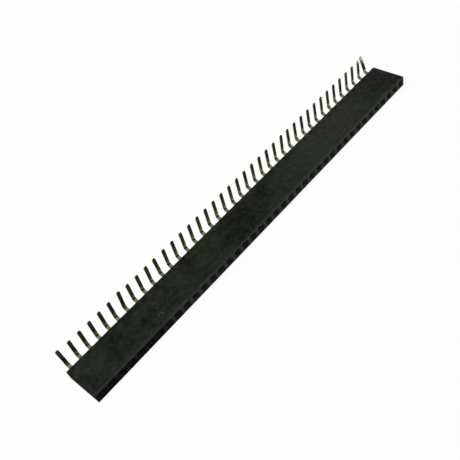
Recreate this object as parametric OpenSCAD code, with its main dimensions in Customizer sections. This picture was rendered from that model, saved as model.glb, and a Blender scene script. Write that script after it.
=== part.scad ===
// Right-angle female pin header strip: a one-piece moulded housing with a row of square
// sockets, and one stamped, bent contact in each socket.
// The strip lies on its back. X runs along the row, the sockets open towards -Y, and the
// solder tails leave the rear face (+Y) and turn up to +Z. The origin is the middle of the
// face that it lies on.

/* [Strip] */
// Number of sockets in the row
positions = 40; // [2:1:40]
// Distance from one socket to the next
pitch = 2.54; // [2.4:0.02:3.2]

/* [Housing] */
// Depth of the housing, from the mating face to the rear face
housing_depth = 8.5; // [7.5:0.1:12]
// Height of the housing as it lies
housing_height = 2.5; // [2.3:0.1:4]
// Plastic beyond half a pitch at each end of the row
end_extra = 0.1; // [0:0.05:1]
// Radius of the moulded outer edges
edge_radius = 0.14; // [0.04:0.01:0.19]

/* [Sockets] */
// Width of a socket's square mouth at the mating face
mouth_width = 1.8; // [1.3:0.05:2.1]
// Depth over which the mouth tapers to the throat
mouth_depth = 0.8; // [0.4:0.05:1.2]
// Width of the square throat that guides a mating pin
throat_width = 0.85; // [0.7:0.05:1.1]
// Length of the throat, from the taper to the cavity
throat_length = 0.25; // [0.1:0.05:0.6]
// Width of the cavity that holds a contact
cavity_width = 1.7; // [1.5:0.05:2]
// Height of the same cavity
cavity_height = 1.1; // [1:0.05:1.5]

/* [Contact clip and leaves] */
// Thickness of the sheet that the contacts are stamped from
sheet = 0.2; // [0.14:0.01:0.24]
// Play between the clip's sides or top and the cavity
clip_play = 0.06; // [0.03:0.01:0.1]
// Inner radius of the clip's two folds
fold_radius = 0.1; // [0.04:0.01:0.15]
// Length of the U-shaped clip
clip_length = 1.5; // [1:0.1:2]
// Distance from the rear face in to the clip
clip_inset = 1.6; // [1.3:0.05:2]
// Length of the barbs that hold the clip in its cavity
barb_length = 0.5; // [0.3:0.05:0.8]
// Height of the two leaf springs
leaf_height = 0.7; // [0.5:0.05:0.75]
// Gap between the leaves where they pinch a pin
pinch_gap = 0.3; // [0.1:0.05:0.5]
// Length of the leaves' flared lips
lip_length = 0.8; // [0.4:0.05:1.2]
// Gap between the ends of the flared lips
lip_gap = 0.8; // [0.6:0.05:0.9]
// Distance from the lips to the cavity's front wall
lip_play = 0.15; // [0.05:0.05:0.4]

/* [Solder tails] */
// Width of the shank and the solder tail
tail_width = 0.8; // [0.64:0.02:0.9]
// Distance from the rear face to the middle of the upright tails
tail_offset = 1.7; // [1.2:0.05:4]
// Height of the tail tips above the housing
tail_rise = 3.85; // [1.5:0.05:6]
// Inner radius of the right-angle bend
bend_radius = 0.6; // [0.15:0.05:0.9]
// Radius of the tip's two rounded corners
tip_radius = 0.3; // [0.1:0.02:0.38]

/* [Hidden] */
$fn = 48;

// Tails that handling has knocked out of line:
// [socket, degrees towards +X, degrees outwards, degrees turned about their own length]
knocked_tails = [[1, -2, 4, 0], [7, 5, 4, 0], [11, -3, 0, 0], [27, 4, 0, 0], [40, -11, 6, -14]];
// A turned tail twists in this many small steps, from square on the bend up to its blade
twist_steps = 5;

strip_length = positions * pitch + 2 * end_extra;
mating_y = -housing_depth / 2;
rear_y = housing_depth / 2;
mid_z = housing_height / 2;
floor_z = mid_z - cavity_height / 2;

// Lengths that solids reach past a face, so that a cut or a joint is clean
over = 0.5;
sunk = 0.1;

// Along Y, the cavity starts behind the throat, and the clip ends short of the rear face
throat_y = mating_y + mouth_depth;
cavity_y = throat_y + throat_length;
clip_rear_y = rear_y - clip_inset;
clip_front_y = clip_rear_y - clip_length;

clip_width = cavity_width - 2 * clip_play;
clip_height = cavity_height - clip_play;
base_z = floor_z + sheet / 2;

// The leaves run forward from the clip's sides, close on the pin and flare at their lips
leaf_x = (clip_width - sheet) / 2;
lip_y = cavity_y + lip_play;
pinch_y = lip_y + lip_length;
leaf_run = 0.3;
leaf_path = [
    [leaf_x, clip_front_y + sunk],
    [leaf_x, clip_front_y - leaf_run],
    [(pinch_gap + sheet) / 2, pinch_y],
    [(lip_gap + sheet) / 2, lip_y]
];

// The shank steps up at 45 degrees from the clip's base to the middle of the housing
step_run = 0.2;
step_rise = mid_z - base_z;
bend_mid = bend_radius + sheet / 2;
bend_y = rear_y + tail_offset - bend_mid;
bend_z = mid_z + bend_mid;
shank_path = [
    [clip_rear_y - sunk, base_z],
    [clip_rear_y + step_run, base_z],
    [clip_rear_y + step_run + step_rise, mid_z],
    [bend_y, mid_z]
];
tail_length = housing_height + tail_rise - bend_z;

function two_digits(n) = str(n < 10 ? "0" : "", n);
function contact_name(n) = str("contact_", two_digits(n));
function contact_x(n) = (n - (positions + 1) / 2) * pitch;

// How far tail n is knocked: [degrees towards +X, degrees outwards, degrees turned]
function knock(n) = let (found = [for (k = knocked_tails) if (k[0] == n) [k[1], k[2], k[3]]])
    len(found) > 0 ? found[0] : [0, 0, 0];

// Outline of a strip of even thickness along a path, with mitred corners
function along(v) = v / norm(v);
function across(v) = [-v.y, v.x];
function edge_point(path, i, d) = let (
    last = len(path) - 1,
    before = along(path[max(i, 1)] - path[max(i, 1) - 1]),
    after = along(path[min(i + 1, last)] - path[min(i + 1, last) - 1]),
    mitre = along(across(before) + across(after))
) path[i] + mitre * d / (mitre * across(after));
function ribbon(path, thickness) = concat(
    [for (i = [0:1:len(path) - 1]) edge_point(path, i, thickness / 2)],
    [for (i = [len(path) - 1:-1:0]) edge_point(path, i, -thickness / 2)]
);

// Stands a drawing up so that its x runs along Y and its y along Z, and extrudes it along X
module extrude_x(length) {
    rotate([90, 0, 90])
        linear_extrude(length, center = true)
            children();
}

// Stands a drawing up so that its x runs along X and its y along Z, and extrudes it along Y
module extrude_y(length) {
    rotate([90, 0, 0])
        linear_extrude(length, center = true)
            children();
}

module rounded_rectangle(width, height, radius) {
    square([width - 2 * radius, height], center = true);
    square([width, height - 2 * radius], center = true);
    for (x = [-1, 1], y = [-1, 1])
        translate([x * (width / 2 - radius), y * (height / 2 - radius)])
            circle(radius);
}

// A block with all twelve edges rounded
module rounded_block(size, radius) {
    intersection() {
        extrude_x(size.x + 2 * over)
            rounded_rectangle(size.y, size.z, radius);
        extrude_y(size.y + 2 * over)
            rounded_rectangle(size.x, size.z, radius);
        linear_extrude(size.z + 2 * over, center = true)
            rounded_rectangle(size.x, size.y, radius);
    }
}

// Drawing of the lead-in's taper, seen from the side: open end at -over, throat end at
// mouth_depth. It goes on at the same slope past the open end, so the cut is clean there.
module taper_profile() {
    slope = (mouth_width - throat_width) / 2 / mouth_depth;
    wide = mouth_width / 2 + slope * over;
    narrow = throat_width / 2;
    polygon([[-over, -wide], [mouth_depth, -narrow], [mouth_depth, narrow], [-over, wide]]);
}

// One socket: the square funnel, the throat and the cavity, which is open at the rear
module socket() {
    reach = 2 * (mouth_width + over);
    cavity_length = rear_y - cavity_y;
    translate([0, mating_y, mid_z])
        intersection() {
            extrude_x(reach)
                taper_profile();
            rotate([0, 90, 0])
                extrude_x(reach)
                    taper_profile();
        }
    translate([-throat_width / 2, throat_y - sunk, mid_z - throat_width / 2])
        cube([throat_width, throat_length + 2 * sunk, throat_width]);
    translate([-cavity_width / 2, cavity_y, floor_z])
        cube([cavity_width, cavity_length + over, cavity_height]);
}

module housing() {
    color([0.14, 0.16, 0.15])
        difference() {
            translate([0, 0, mid_z])
                rounded_block([strip_length, housing_depth, housing_height], edge_radius);
            for (n = [1:1:positions])
                translate([contact_x(n), 0, 0])
                    socket();
        }
}

// Half-open channel, seen from its end: flat base down, rounded lower corners, open top
module channel_outline(width, height, radius) {
    translate([-width / 2, radius])
        square([width, height - radius]);
    translate([-width / 2 + radius, 0])
        square([width - 2 * radius, height]);
    for (x = [-1, 1])
        translate([x * (width / 2 - radius), radius])
            circle(radius);
}

// The U-shaped clip, with a barb on each side that reaches the cavity's wall
module clip() {
    barb_height = clip_height / 2;
    barb_y = clip_front_y + (clip_length - barb_length) / 2;
    translate([0, (clip_front_y + clip_rear_y) / 2, floor_z])
        extrude_y(clip_length)
            difference() {
                channel_outline(clip_width, clip_height, fold_radius + sheet);
                translate([0, sheet])
                    channel_outline(clip_width - 2 * sheet, clip_height, fold_radius);
            }
    for (side = [0, 1])
        mirror([side, 0, 0])
            translate([clip_width / 2, barb_y, mid_z - barb_height / 2])
                linear_extrude(barb_height)
                    polygon([
                        [-sheet / 2, 0], [0, 0], [clip_play, barb_length / 2],
                        [clip_play, barb_length], [-sheet / 2, barb_length]
                    ]);
}

// The two leaf springs that pinch a mating pin between them
module leaves() {
    for (side = [0, 1])
        mirror([side, 0, 0])
            translate([0, 0, mid_z - leaf_height / 2])
                linear_extrude(leaf_height)
                    polygon(ribbon(leaf_path, sheet));
}

// The upright solder tail, drawn from the end of the bend up, with its width along X.
// A knocked tail has a short foot below its blade, and a turned one twists there.
module tail(lean_side, turn) {
    half = tail_width / 2;
    straight = lean_side == 0 && turn == 0 ? 0 : half;
    blade = tail_length - straight;
    steps = turn == 0 ? 1 : twist_steps;
    rise = straight / steps;
    lap = sunk / steps;
    if (straight > 0)
        for (i = [0:1:steps - 1])
            translate([0, 0, i * rise - lap])
                rotate([0, 0, turn * i / steps])
                    translate([-half, -sheet / 2, 0])
                        cube([tail_width, sheet, rise + lap]);
    translate([0, 0, straight])
        rotate([0, lean_side, 0])
            rotate([0, 0, turn])
                extrude_y(sheet)
                    union() {
                        if (straight > 0)
                            circle(half);
                        translate([-half, 0])
                            square([tail_width, blade - tip_radius]);
                        translate([tip_radius - half, 0])
                            square([tail_width - 2 * tip_radius, blade]);
                        for (x = [-1, 1])
                            translate([x * (half - tip_radius), blade - tip_radius])
                                circle(tip_radius);
                    }
}

// The bend and the tail above it. A tail that leans outwards is bent less than square.
module bent_tail(lean_side, lean_out, turn) {
    translate([0, bend_y, bend_z]) {
        rotate([90, 0, 90])
            rotate([0, 0, -90])
                rotate_extrude(angle = 90 - lean_out)
                    translate([bend_radius, -tail_width / 2])
                        square([sheet, tail_width]);
        rotate([-lean_out, 0, 0])
            translate([0, bend_mid, 0])
                tail(lean_side, turn);
    }
}

// Contact number n, one stamping: clip, leaves, shank, bend and solder tail
module contact(n) {
    color([0.80, 0.67, 0.36])
        translate([contact_x(n), 0, 0]) {
            clip();
            leaves();
            extrude_x(tail_width)
                polygon(ribbon(shank_path, sheet));
            bent_tail(knock(n)[0], knock(n)[1], knock(n)[2]);
        }
}

housing();
for (n = [1:1:positions])
    contact(n);
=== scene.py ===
# %% [markdown]
# # A right-angle socket strip
# This lesson dresses a small electronic part: one long black moulding with forty square
# sockets, and forty thin gilt contacts whose tails leave the back and turn up. The shapes come
# from a CAD model that is loaded as a fixed frame, so the work here is finish, light and camera,
# and one piece that is modelled again with softer edges. Everything is in metres, but small
# sizes are easier to read in millimetres, so they are written as a number times `MM`.

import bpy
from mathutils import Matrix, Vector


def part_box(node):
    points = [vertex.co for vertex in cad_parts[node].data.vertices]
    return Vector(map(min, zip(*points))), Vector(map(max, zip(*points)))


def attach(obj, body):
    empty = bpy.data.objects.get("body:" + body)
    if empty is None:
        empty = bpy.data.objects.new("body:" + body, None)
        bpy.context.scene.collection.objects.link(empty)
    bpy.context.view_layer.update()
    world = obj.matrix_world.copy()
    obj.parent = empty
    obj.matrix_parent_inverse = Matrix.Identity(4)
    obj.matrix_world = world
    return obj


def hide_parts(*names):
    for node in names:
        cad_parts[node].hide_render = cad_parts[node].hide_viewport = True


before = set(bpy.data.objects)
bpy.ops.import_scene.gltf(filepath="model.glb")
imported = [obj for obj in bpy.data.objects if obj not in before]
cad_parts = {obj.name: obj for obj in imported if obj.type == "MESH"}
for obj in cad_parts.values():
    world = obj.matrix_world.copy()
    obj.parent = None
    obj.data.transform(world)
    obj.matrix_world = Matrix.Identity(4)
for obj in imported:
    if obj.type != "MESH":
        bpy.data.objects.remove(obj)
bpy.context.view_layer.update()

import math
import bmesh
import bpy
from mathutils import Matrix, Quaternion, Vector

MM = 0.001
contact_names = sorted(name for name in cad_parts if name.startswith("contact_"))
print("contacts in the row:", len(contact_names))

# %% [markdown]
# ## Where things are
# Every place below is worked out from the model's own boxes, so that the scene still fits if the
# model changes. The housing's box gives the row's length, its depth and its height. Two
# neighbouring contacts give the pitch, and one contact's box gives the cavity that it sits in:
# its barbs bite into both side walls, and its base lies on the cavity's floor.

# %% Measure the housing and one contact
housing_low, housing_high = (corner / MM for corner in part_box("housing"))
strip_length, housing_depth, housing_height = housing_high - housing_low
housing_middle = (housing_low + housing_high) / 2

second_low, second_high = (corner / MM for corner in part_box(contact_names[1]))
third_low, third_high = (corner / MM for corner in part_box(contact_names[2]))
pitch = third_low.x - second_low.x
cavity_width = second_high.x - second_low.x
cavity_height = 2 * (housing_middle.z - second_low.z)
print("strip, mm:", round(strip_length, 2), round(housing_depth, 2), round(housing_height, 2))
print("pitch and cavity, mm:", round(pitch, 2), round(cavity_width, 2), round(cavity_height, 2))

# %% [markdown]
# ## The camera
# A strip this long and thin is usually shown corner to corner, with the near end large and the
# far end small. A camera is easiest to think of as a point that it looks at, a direction that it
# looks from, a distance, and a roll about its own line of sight. `to_track_quat` turns the
# direction into a rotation that has no roll, and a turn about the camera's own Z adds the roll.

# %% Place the camera
look_at = (housing_middle + Vector((-7.61, 1.27, 0.0))) * MM
view_azimuth = math.radians(-36.24)
view_elevation = math.radians(47.56)
view_roll = math.radians(-16.91)
view_distance = 138.51 * MM

backwards = Vector((
    math.sin(view_azimuth) * math.cos(view_elevation),
    -math.cos(view_azimuth) * math.cos(view_elevation),
    math.sin(view_elevation),
))
camera_data = bpy.data.cameras.new("portrait_camera")
camera_data.lens = 51.64
camera_data.sensor_width = 36.0
camera_data.clip_start = 1 * MM
camera_data.clip_end = 10.0
camera = bpy.data.objects.new("portrait_camera", camera_data)
bpy.context.scene.collection.objects.link(camera)
camera.location = look_at + backwards * view_distance
camera.rotation_mode = "QUATERNION"
camera.rotation_quaternion = (
    backwards.to_track_quat("Z", "Y") @ Quaternion((0, 0, 1), view_roll)
)
bpy.context.scene.camera = camera
print("camera at, mm:", [round(c / MM, 1) for c in camera.location])

# %% [markdown]
# ## Shader maths in plain Python
# Node trees get long when every plus and times is a node that is placed by hand. One small class
# wraps a socket, so that `1 - mask * 0.5` adds the Math nodes by itself, and one function adds
# any other node from its type, its settings and the values or links of its sockets.

# %% A socket that can be added and multiplied
class Wire:
    """An output socket in a material, with arithmetic."""

    def __init__(self, tree, socket):
        self.tree = tree
        self.socket = socket

    def node(self, kind, settings=None, inputs=None, output=0):
        return add_node(self.tree, kind, settings, inputs, output)

    def math(self, operation, *others):
        values = dict(enumerate((self,) + others))
        return self.node("ShaderNodeMath", {"operation": operation}, values)

    def __add__(self, other):
        return self.math("ADD", other)

    __radd__ = __add__

    def __sub__(self, other):
        return self.math("SUBTRACT", other)

    def __rsub__(self, other):
        return self * -1 + other

    def __mul__(self, other):
        return self.math("MULTIPLY", other)

    __rmul__ = __mul__


def add_node(tree, kind, settings=None, inputs=None, output=0):
    """Adds a node, sets its settings and then its sockets, and returns one output as a Wire."""
    node = tree.nodes.new(kind)
    for name, value in (settings or {}).items():
        setattr(node, name, value)
    for name, value in (inputs or {}).items():
        if isinstance(value, Wire):
            tree.links.new(value.socket, node.inputs[name])
        else:
            node.inputs[name].default_value = value
    return Wire(tree, node.outputs[output])


# %% [markdown]
# ## Words that the finishes share
# Both finishes are built from the same few words. Object coordinates are used throughout,
# because they stay with the piece and need no unwrapping, and they are turned into millimetres
# first, so that a texture's scale is simply how many of its features fit in a millimetre.
# `stretched` squeezes space along some axes, which draws a round noise out into streaks.

# %% Coordinates, noise, masks and mixes
def new_material(name):
    """An empty node material, its tree, and its Object coordinates in millimetres."""
    material = bpy.data.materials.new(name)
    material.use_nodes = True
    tree = material.node_tree
    tree.nodes.clear()
    place = add_node(tree, "ShaderNodeTexCoord", output="Object")
    return material, tree, stretched(place, (1 / MM, 1 / MM, 1 / MM))


def stretched(vector, factors):
    """A vector with each of its three parts multiplied."""
    return vector.node("ShaderNodeVectorMath", {"operation": "MULTIPLY"}, {0: vector, 1: factors})


def part_of(vector, axis):
    """One part of a vector: X, Y or Z."""
    return vector.node("ShaderNodeSeparateXYZ", None, {0: vector}, axis)


def facing(tree, axis):
    """How far a face looks along one axis: 1 straight along it, 0 sideways, -1 straight back."""
    return part_of(add_node(tree, "ShaderNodeTexCoord", output="Normal"), axis)


def noise(place, per_mm, detail=2.0, roughness=0.5):
    """Soft noise from about 0.3 to 0.7, with per_mm features to the millimetre."""
    return place.node("ShaderNodeTexNoise", None, {
        "Vector": place, "Scale": per_mm, "Detail": detail, "Roughness": roughness,
    })


def ramp(value, low, high):
    """0 where the value is below low, 1 where it is above high, and a smooth step between."""
    return value.node("ShaderNodeMapRange", {"interpolation_type": "SMOOTHSTEP"}, {
        "Value": value, "From Min": low, "From Max": high,
    })


def mix(mask, first, second):
    """A colour that goes from the first to the second as the mask goes from 0 to 1."""
    # The node has sockets A and B for every kind of data: the colours are numbers 6 and 7
    return mask.node("ShaderNodeMix", {"data_type": "RGBA"}, {
        0: mask, 6: first, 7: second,
    }, 2)


def bumped(tree, height, strength, distance):
    """The surface's normals, bent as if a height of 1 stood out by that distance."""
    return add_node(tree, "ShaderNodeBump", None, {
        "Strength": strength, "Distance": distance, "Height": height,
    })


def principled(tree, inputs):
    """One Principled shader."""
    return add_node(tree, "ShaderNodeBsdfPrincipled", None, inputs, "BSDF")


def mix_shaders(share, first, second):
    """A shader that goes from the first to the second as the share goes from 0 to 1."""
    return share.node("ShaderNodeMixShader", None, {0: share, 1: first, 2: second}, "Shader")


def end_tree(tree, shader):
    """Puts a shader on the surface and says how many nodes the material took."""
    output = tree.nodes.new("ShaderNodeOutputMaterial")
    tree.links.new(shader.socket, output.inputs["Surface"])
    print("nodes in a material:", len(tree.nodes))


# %% [markdown]
# ## The moulding
# The real housing is one injection moulding. Steel tools never leave a knife edge, so the rim of
# every socket is a little rounded and the corners inside it are soft. The CAD housing has the
# right sizes but sharp rims, and a bevel over its many meeting faces would be fragile. So the
# moulding is built again from one cell, 2.54 mm long, that repeats along the row. The cell's
# skin is an outline of the strip's end, extruded along the row. Its socket is a chain of rounded
# outlines, bridged one to the next: out round the rim, in down the funnel, through the throat
# and along the cavity to the back.

# %% Sizes of the sockets, in millimetres, as in the CAD model
mouth_width = 1.8
mouth_depth = 0.8
throat_width = 0.85
throat_length = 0.25
edge_radius = 0.14

# Softening that only this piece has
rim_radius = 0.07
mouth_corner = 0.32
throat_corner = 0.14
cavity_corner = 0.1
corner_steps = 5
rim_steps = 3

mating_y = housing_low.y
rear_y = housing_high.y
throat_y = mating_y + mouth_depth
cavity_y = throat_y + throat_length

# %% Pick items by their kind, and draw a rounded rectangle as a ring of edges
def only(kind, geometry):
    """The items of one kind, such as BMVert, in what an operator made."""
    return [item for item in geometry if isinstance(item, kind)]


def outline(shape, width, height, radius, place):
    """Adds a rounded rectangle whose width and height turn into the place matrix's X and Y."""
    known = set(shape.verts)
    corners = bmesh.ops.create_grid(shape, x_segments=1, y_segments=1, size=0.5)["verts"]
    bmesh.ops.scale(shape, vec=(width, height, 1), verts=corners)
    bmesh.ops.bevel(
        shape, geom=corners, offset=radius, segments=corner_steps, profile=0.5,
        affect="VERTICES", material=-1,
    )
    ring = [vert for vert in shape.verts if vert not in known]
    face = ring[0].link_faces[0]
    edges = list(face.edges)
    bmesh.ops.delete(shape, geom=[face], context="FACES_ONLY")
    bmesh.ops.transform(shape, matrix=place, verts=ring)
    return edges


# A place matrix for the outline of the strip's end, which stands up across the row
across_row = Matrix.Translation((-pitch / 2, 0, housing_middle.z)) @ Matrix(
    ((0, 0, 1, 0), (1, 0, 0, 0), (0, 1, 0, 0), (0, 0, 0, 1))
)


def facing_out(y):
    """A place matrix at that distance along the socket, for a rectangle that stands up."""
    return Matrix.Translation((0, y, housing_middle.z)) @ Matrix.Rotation(math.pi / 2, 4, "X")


# %% [markdown]
# ### One cell
# The skin's front and rear faces are taken out, and `triangle_fill` puts each back as a flat
# face with the socket's outline as a hole in it. The rim is a quarter of a circle: at the angle
# t it has turned in by r (1 - sin t) and gone down by r (1 - cos t).

# %% Skin of one cell
cell = bmesh.new()
profile = outline(cell, housing_depth, housing_height, edge_radius, across_row)
pulled = bmesh.ops.extrude_edge_only(cell, edges=profile)["geom"]
bmesh.ops.translate(cell, vec=(pitch, 0, 0), verts=only(bmesh.types.BMVert, pulled))
front_face = min(cell.faces, key=lambda face: face.calc_center_median().y)
rear_face = max(cell.faces, key=lambda face: face.calc_center_median().y)
front_edges = list(front_face.edges)
rear_edges = list(rear_face.edges)
bmesh.ops.delete(cell, geom=[front_face, rear_face], context="FACES_ONLY")
print("faces in the skin of a cell:", len(cell.faces))

# %% Chain of outlines from the mouth to the back
def rim(width, height, corner, y, inwards):
    """The outlines of one rounded rim, from the flat face to the straight wall."""
    rings = []
    for step in range(rim_steps + 1):
        angle = step / rim_steps * math.pi / 2
        wider = rim_radius * (1 - math.sin(angle))
        deeper = rim_radius * (1 - math.cos(angle))
        rings.append(outline(
            cell, width + 2 * wider, height + 2 * wider, corner + wider,
            facing_out(y + inwards * deeper),
        ))
    return rings


mouth_rim = rim(mouth_width, mouth_width, mouth_corner, mating_y, 1)
cavity_rim = rim(cavity_width, cavity_height, cavity_corner, rear_y, -1)
chain = mouth_rim + [
    outline(cell, throat_width, throat_width, throat_corner, facing_out(throat_y)),
    outline(cell, throat_width, throat_width, throat_corner, facing_out(cavity_y)),
    outline(cell, cavity_width, cavity_height, cavity_corner, facing_out(cavity_y)),
] + cavity_rim[::-1]
for ring, next_ring in zip(chain, chain[1:]):
    bmesh.ops.bridge_loops(cell, edges=ring + next_ring)

for border, hole in ((front_edges, chain[0]), (rear_edges, chain[-1])):
    bmesh.ops.triangle_fill(cell, edges=border + hole, use_beauty=True)
print("faces in a cell:", len(cell.faces))

# %% [markdown]
# ### The whole row
# The cell is copied along the row and neighbours are merged where they meet. That leaves one
# open ring of edges at each end of the row. It is moved to where the end's rounding starts and
# then extruded in short steps that shrink round a quarter circle, and the last ring is filled.

# %% Repeat the cell
first_x = housing_middle.x - pitch * (len(contact_names) - 1) / 2
cell_parts = cell.verts[:] + cell.edges[:] + cell.faces[:]
for count in range(1, len(contact_names)):
    copied = bmesh.ops.duplicate(cell, geom=cell_parts)["geom"]
    copied_verts = only(bmesh.types.BMVert, copied)
    bmesh.ops.translate(cell, vec=(pitch * count, 0, 0), verts=copied_verts)
bmesh.ops.translate(cell, vec=(first_x, 0, 0), verts=cell.verts[:])
bmesh.ops.remove_doubles(cell, verts=cell.verts[:], dist=0.001)
print("open edges at the two ends:", sum(edge.is_boundary for edge in cell.edges))

# %% Round off and close the two ends
for side in (-1, 1):
    ring = [edge for edge in cell.edges if edge.is_boundary and edge.verts[0].co.x * side > 0]
    ring_verts = list({vert for edge in ring for vert in edge.verts})
    ring_x = housing_middle.x + side * (strip_length / 2 - edge_radius)
    bmesh.ops.translate(cell, vec=(ring_x - ring_verts[0].co.x, 0, 0), verts=ring_verts)
    shrunk, pushed = 0.0, 0.0
    for step in range(1, corner_steps + 1):
        angle = step / corner_steps * math.pi / 2
        inset = edge_radius * (1 - math.cos(angle))
        out = edge_radius * math.sin(angle)
        grown = bmesh.ops.extrude_edge_only(cell, edges=ring)["geom"]
        ring = only(bmesh.types.BMEdge, grown)
        ring_verts = only(bmesh.types.BMVert, grown)
        bmesh.ops.translate(cell, vec=(side * (out - pushed), 0, 0), verts=ring_verts)
        narrower = (
            1,
            (housing_depth - 2 * inset) / (housing_depth - 2 * shrunk),
            (housing_height - 2 * inset) / (housing_height - 2 * shrunk),
        )
        bmesh.ops.scale(
            cell, vec=narrower, space=Matrix.Translation(-housing_middle), verts=ring_verts,
        )
        shrunk, pushed = inset, out
    bmesh.ops.edgeloop_fill(cell, edges=ring)

# %% Turn the faces out, go back to metres and put the piece in the scene
bmesh.ops.recalc_face_normals(cell, faces=cell.faces[:])
open_edges = sum(not edge.is_manifold for edge in cell.edges)
print("moulding: faces", len(cell.faces), "edges that don't join two faces", open_edges)
print("moulding's volume, mm3:", round(cell.calc_volume(), 1))
bmesh.ops.scale(cell, vec=(MM, MM, MM), verts=cell.verts[:])

# Extruding lists its new faces in an order that changes from run to run, so they are sorted
cell.verts.index_update()
faces = sorted([vert.index for vert in face.verts] for face in cell.faces)
moulding_mesh = bpy.data.meshes.new("housing_moulding")
moulding_mesh.from_pydata([vert.co for vert in cell.verts], [], faces)
cell.free()
moulding = bpy.data.objects.new("housing_moulding", moulding_mesh)
bpy.context.scene.collection.objects.link(moulding)
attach(moulding, "root")
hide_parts("housing")

# %% [markdown]
# ## Black plastic
# The housing is a black engineering plastic filled with short glass fibres. It isn't quite black:
# the skin has a dull green cast, and it is mottled, because the fibres and the pigment spread
# unevenly as the mould fills. Up close it has fine streaks where fibres lie just under the skin,
# and the even grain of the spark-eroded tool. The skin is painted paler on three stretches of the
# row: the far one is a painted sheen, where the smooth top mirrors a light, and the near two are
# simply paler. There are a few specks of dust. All of it is drawn with noise in Object
# coordinates, so that no two sockets look the same although they are one shape.

# %% Where the paler stretches, the dust and the painted shade lie, in millimetres
# The far stretch is a painted sheen, where the smooth top mirrors a light; the near two are only
# paler
sheen_and_paler_stretches = (
    # middle along the row, reach and strength
    (-50.5, 9.0, 0.6),
    (-29.0, 11.0, 0.45),
    (30.0, 13.0, 0.4),
)
dust_specks = (
    # along the row, across it, radius and strength
    (-32.0, -1.9, 0.26, 1.0),
    (-31.1, -2.1, 0.30, 1.0),
    (-31.1, -0.2, 0.24, 0.4),
    (-13.4, -1.2, 0.28, 0.4),
    (4.2, 1.6, 0.20, 0.3),
    (31.5, -0.6, 0.22, 0.3),
)
# The sides are painted dark, as painted shade, up to the first of these places along the row, and
# not from the second
painted_shade_fade = (-37.0, -22.0)
print("hazy stretches and specks:", len(sheen_and_paler_stretches), len(dust_specks))

# %% Masks of the dust and of the paler stretches
def dust(place):
    """A mask of the specks: 1 in the middle of a strong one, 0 on the clean skin."""
    spots = []
    for along, across, radius, strength in dust_specks:
        speck = Vector((along, across, housing_high.z))
        distance = place.node(
            "ShaderNodeVectorMath", {"operation": "DISTANCE"}, {0: place, 1: speck}, "Value",
        )
        spots.append(strength - strength * ramp(distance, 0.0, radius))
    return sum(spots)


def sheen_and_paler_mask(place):
    """A mask of the paler stretches, the far one a painted sheen: it fades along the row from the
    middle of each.
    """
    along = part_of(place, 0)
    stretch_masks = []
    for middle, reach, strength in sheen_and_paler_stretches:
        from_middle = (along - middle).math("ABSOLUTE")
        stretch_masks.append(strength - strength * ramp(from_middle, 0.0, reach))
    return sum(stretch_masks)


# %% [markdown]
# ### The plastic itself
# Base Color takes the mottling, the streaks and the dust, and the painted light and shade below;
# Roughness follows the mottling, and a Bump node takes the grain. Specular Tint gives the thin
# green cast to what the skin mirrors. The faces don't shine alike. The tool's two large flat
# walls were ground, so the top and the underside are the smoothest; the side with the sockets was
# spark eroded and is dull; and the two ends are roughest, where the strip was cut from the next
# one.
# `near_skin` finds those faces. The side with the sockets is painted a little paler, and the long
# edges over and under it more, as a painted highlight where the rounded edges catch light. The
# floor of each funnel, which the Normal output finds because it faces up, is painted paler, as
# painted light from the front and above. At the near end the sides are painted dark, as painted
# shade: the painted shade has a dull shader of its own, which a Mix Shader fades in.

# %% Masks of the faces
def near_skin(place, axis, size):
    """1 in the outermost 0.1 mm along one axis, and 0 further in."""
    from_middle = (part_of(place, axis) - housing_middle[axis]).math("ABSOLUTE")
    return ramp(from_middle, size / 2 - 0.2, size / 2 - 0.1)


def funnel_floors(tree, depth):
    """1 on the faces in the funnels that look up, and 0 elsewhere."""
    in_funnel = ramp(depth, 0.1, 0.4) * (1 - ramp(depth, mouth_depth, mouth_depth + 0.1))
    return in_funnel * ramp(facing(tree, 2), 0.6, 0.8)


# %% Mottled, streaked, grained plastic, with painted sheen, light and shade
bare_dark = (0.0008, 0.0011, 0.0008, 1)
bare_pale = (0.0195, 0.0255, 0.0170, 1)
fibre = (0.030, 0.034, 0.028, 1)
# Painted sheen on the far paler stretch, and the plain paler tone of the near two
sheen_and_paler_grey = (0.085, 0.085, 0.080, 1)
# Real dust specks, and painted light on the funnel floors
dust_and_lit_floor_grey = (0.075, 0.080, 0.070, 1)
# Painted highlight along the socket side and its long edges
edge_highlight_grey = (0.045, 0.048, 0.042, 1)
# Painted shade on the sides at the near end
painted_shade_dark = (0.002, 0.002, 0.002, 1)
painted_shade_pale = (0.010, 0.011, 0.008, 1)


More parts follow.
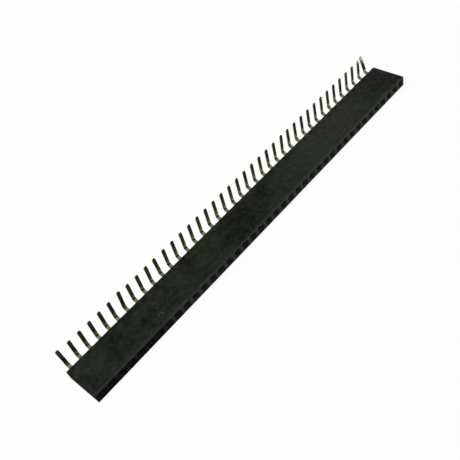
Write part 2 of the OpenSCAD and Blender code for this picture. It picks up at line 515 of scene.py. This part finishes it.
def black_plastic():
    material, tree, place = new_material("black_plastic")
    depth = part_of(place, 1) - mating_y
    cut_end = near_skin(place, 0, strip_length)
    ground = near_skin(place, 2, housing_height) * (1 - cut_end)
    # Painted light on the funnel floors that face up
    painted_lit_floors = funnel_floors(tree, depth) * (1 - ground)

    clouds = ramp(noise(place, 0.16, detail=2), 0.40, 0.60)
    mottle = ramp(noise(place, 0.8, detail=4, roughness=0.7), 0.42, 0.64)
    flecks = ramp(noise(place, 2.2, detail=3, roughness=0.6), 0.44, 0.66)
    shade = clouds * 0.40 + mottle * 0.36 + flecks * 0.24
    streaks = ramp(noise(stretched(place, (1, 7, 7)), 1.6, detail=3), 0.62, 0.80)
    skin = mix(streaks * 0.3, mix(shade, bare_dark, bare_pale), fibre)

    # Paler stretches along the row; the far one is a painted sheen
    haze = sheen_and_paler_mask(place) * (0.6 + mottle * 0.4)
    skin = mix(haze * 0.14, skin, sheen_and_paler_grey)
    # Dust specks, and painted light on the funnel floors
    skin = mix(dust(place) + painted_lit_floors * 0.35, skin, dust_and_lit_floor_grey)
    # Painted highlight along the socket side and its long edges
    edge_highlight = (1 - ramp(depth, 0.1, 0.7)) * (0.1 + ground * 0.25)
    skin = mix(edge_highlight, skin, edge_highlight_grey)

    relief = noise(place, 11, detail=2) * 0.6 + mottle * 0.4
    plastic = principled(tree, {
        "Base Color": skin,
        "Roughness": 0.60 + 0.14 * shade - ground * 0.50 + cut_end * 0.20,
        "Specular IOR Level": 0.35,
        "Specular Tint": (0.92, 1.0, 0.86, 1),
        "Normal": bumped(tree, relief, 0.35, 0.02 * MM),
    })
    # Painted shade: a dark, dull shader for the sides at the near end
    painted_shade_shader = principled(tree, {
        "Base Color": mix(shade, painted_shade_dark, painted_shade_pale),
        "Roughness": 0.8,
        "Specular IOR Level": 0.1,
    })
    # Where the painted shade covers the sides, fading out along the row
    painted_shade_mask = (1 - ramp(part_of(place, 0), *painted_shade_fade)) * (1 - ground) * (1 - painted_lit_floors * 0.6)
    end_tree(tree, mix_shaders(painted_shade_mask, plastic, painted_shade_shader))
    return material


moulding.data.materials.append(black_plastic())

# %% [markdown]
# ## Gilt metal
# The contacts are stamped from thin bronze strip that was plated first, so the broad faces have a
# pale, slightly green gilt and the sheared edges show darker bare bronze. A full metal has no
# colour of its own but what it mirrors, tinted by Base Color: the tails look nearly black where
# they mirror the housing, and pale where they mirror the floor. Long faint rolling marks run
# along the sheet, and thin tarnish dulls it in patches. The bends are yellower and less shiny,
# because folding stretches the plating there.

# %% Gilt with sheared edges and tarnish
gilt_warm = (0.74, 0.71, 0.46, 1)
gilt_pale = (0.85, 0.83, 0.58, 1)
gilt_folded = (0.80, 0.70, 0.22, 1)
tarnish_brown = (0.45, 0.42, 0.24, 1)
bronze_dark = (0.16, 0.135, 0.080, 1)
bronze_pale = (0.24, 0.21, 0.13, 1)

tail_top = third_high.z
bend_y = third_high.y - 0.7  # the level stub ends here and the bend starts


def gilt():
    material, tree, place = new_material("gilt")
    height = part_of(place, 2)
    sideways = facing(tree, 0).math("ABSOLUTE")
    broadside = facing(tree, 1).math("ABSOLUTE")
    at_tip = ramp(height, tail_top - 0.4, tail_top - 0.3)
    tip_edge = at_tip * (1 - ramp(broadside, 0.3, 0.6))
    sheared = ramp(sideways, 0.7, 0.9).math("MAXIMUM", tip_edge)
    past_stub = ramp(part_of(place, 1), bend_y - 0.1, bend_y + 0.3)
    folded = past_stub * (1 - ramp(height, 2.6, 3.8))
    arc = past_stub * (1 - ramp(height, 2.0, 2.4))

    tone = ramp(noise(stretched(place, (1.1, 0.5, 0.5)), 0.6, detail=2), 0.36, 0.64)
    tarnish = ramp(noise(place, 1.7, detail=4, roughness=0.65), 0.50, 0.72)
    plating = mix(tone, gilt_warm, gilt_pale)
    plating = mix(tarnish * 0.3, plating, tarnish_brown)
    plating = mix(folded * 0.4, plating, gilt_folded)
    bare = mix(tone, bronze_dark, bronze_pale)
    marks = noise(stretched(place, (30, 1, 1)), 1.0, detail=2)
    end_tree(tree, principled(tree, {
        "Base Color": mix(sheared, plating, bare),
        "Metallic": 1.0,
        "Roughness": 0.20 + tarnish * 0.08 + sheared * 0.26 + arc * 0.12,
        "Normal": bumped(tree, marks, 0.08, 0.01 * MM),
    }))
    return material


gilt_finish = gilt()
for name in contact_names:
    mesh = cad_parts[name].data
    if not mesh.materials:
        mesh.materials.append(gilt_finish)
    for index in range(len(mesh.materials)):
        mesh.materials[index] = gilt_finish
print("contacts dressed:", len(contact_names))

# %% [markdown]
# ## Floor
# The floor is plain pale paper. The camera sees it mostly as even white, with a little of the lit
# paper mixed in, so that the soft contact shadow stays. Light Path tells which ray is asking.
# Rays that come by way of shiny metal or glass see the white floor too, with a larger part of the
# lit paper in it, so that the shade close under the part shows in its reflections.

# %% Paper floor
white_to_camera = 0.96
white_to_shine = 0.5


def make_floor():
    flat = bmesh.new()
    bmesh.ops.create_grid(flat, x_segments=1, y_segments=1, size=1.5)
    mesh = bpy.data.meshes.new("floor")
    flat.to_mesh(mesh)
    flat.free()
    floor = bpy.data.objects.new("floor", mesh)
    bpy.context.scene.collection.objects.link(floor)
    floor.location.z = housing_low.z * MM
    material, tree, _ = new_material("paper")
    paper = add_node(tree, "ShaderNodeBsdfDiffuse", None, {"Color": (0.8, 0.8, 0.8, 1)}, "BSDF")
    white = add_node(tree, "ShaderNodeEmission", None, {"Strength": 1.0}, "Emission")
    by_camera = add_node(tree, "ShaderNodeLightPath", output="Is Camera Ray")
    by_gloss = add_node(tree, "ShaderNodeLightPath", output="Is Glossy Ray")
    by_glass = add_node(tree, "ShaderNodeLightPath", output="Is Transmission Ray")
    share = by_camera * white_to_camera + (by_gloss + by_glass) * white_to_shine
    end_tree(tree, mix_shaders(share, paper, white))
    mesh.materials.append(material)


make_floor()

# %% [markdown]
# ## Light
# A soft box hangs high beyond the near end and a little behind the row, so that it lights the
# stubs and bends of the contacts from above. A wide weak panel stands low to the right, for the
# inner walls of the far sockets. A third lamp, small and very weak, is there only to be mirrored:
# the smooth top shows it as a soft haze towards the far end, with the tails dark before it. The
# thin metal would throw the panels' light back on the top as bright flecks, so light linking lets
# them light one piece only: their receiver collection holds just the moulding. The world fills
# the rest with an even grey. Together they light a level surface at about the strength at which
# its colour renders as it is written.

# %% World and lamps
world = bpy.data.worlds.new("studio")
bpy.context.scene.world = world
world.use_nodes = True
world.node_tree.nodes["Background"].inputs["Color"].default_value = (1, 1, 1, 1)
world.node_tree.nodes["Background"].inputs["Strength"].default_value = 0.22


def add_lamp(name, size, power, place, target):
    """A square lamp at a place, facing a target, both in metres. Returns its object."""
    data = bpy.data.lights.new(name, "AREA")
    data.shape = "SQUARE"
    data.size = size
    data.energy = power
    lamp = bpy.data.objects.new(name, data)
    bpy.context.scene.collection.objects.link(lamp)
    lamp.location = place
    lamp.rotation_mode = "QUATERNION"
    lamp.rotation_quaternion = (Vector(place) - target).to_track_quat("Z", "Y")
    return lamp


add_lamp("soft_box", 0.40, 5.4, (-0.46, 0.22, 0.56), housing_middle * MM)
side_panel = add_lamp("side_panel", 0.16, 0.5, (0.33, -0.08, 0.10), housing_middle * MM)
haze_panel = add_lamp("haze_panel", 0.08, 0.005, (0.32, 0.25, 0.32), housing_middle * MM)
lit_by_panels = bpy.data.collections.new("lit_by_panels")
lit_by_panels.objects.link(moulding)
for panel in (side_panel, haze_panel):
    panel.light_linking.receiver_collection = lit_by_panels

# %% Colours as they are written
bpy.context.scene.view_settings.view_transform = "Standard"

# %% Bring the view layer up to date
bpy.context.view_layer.update()
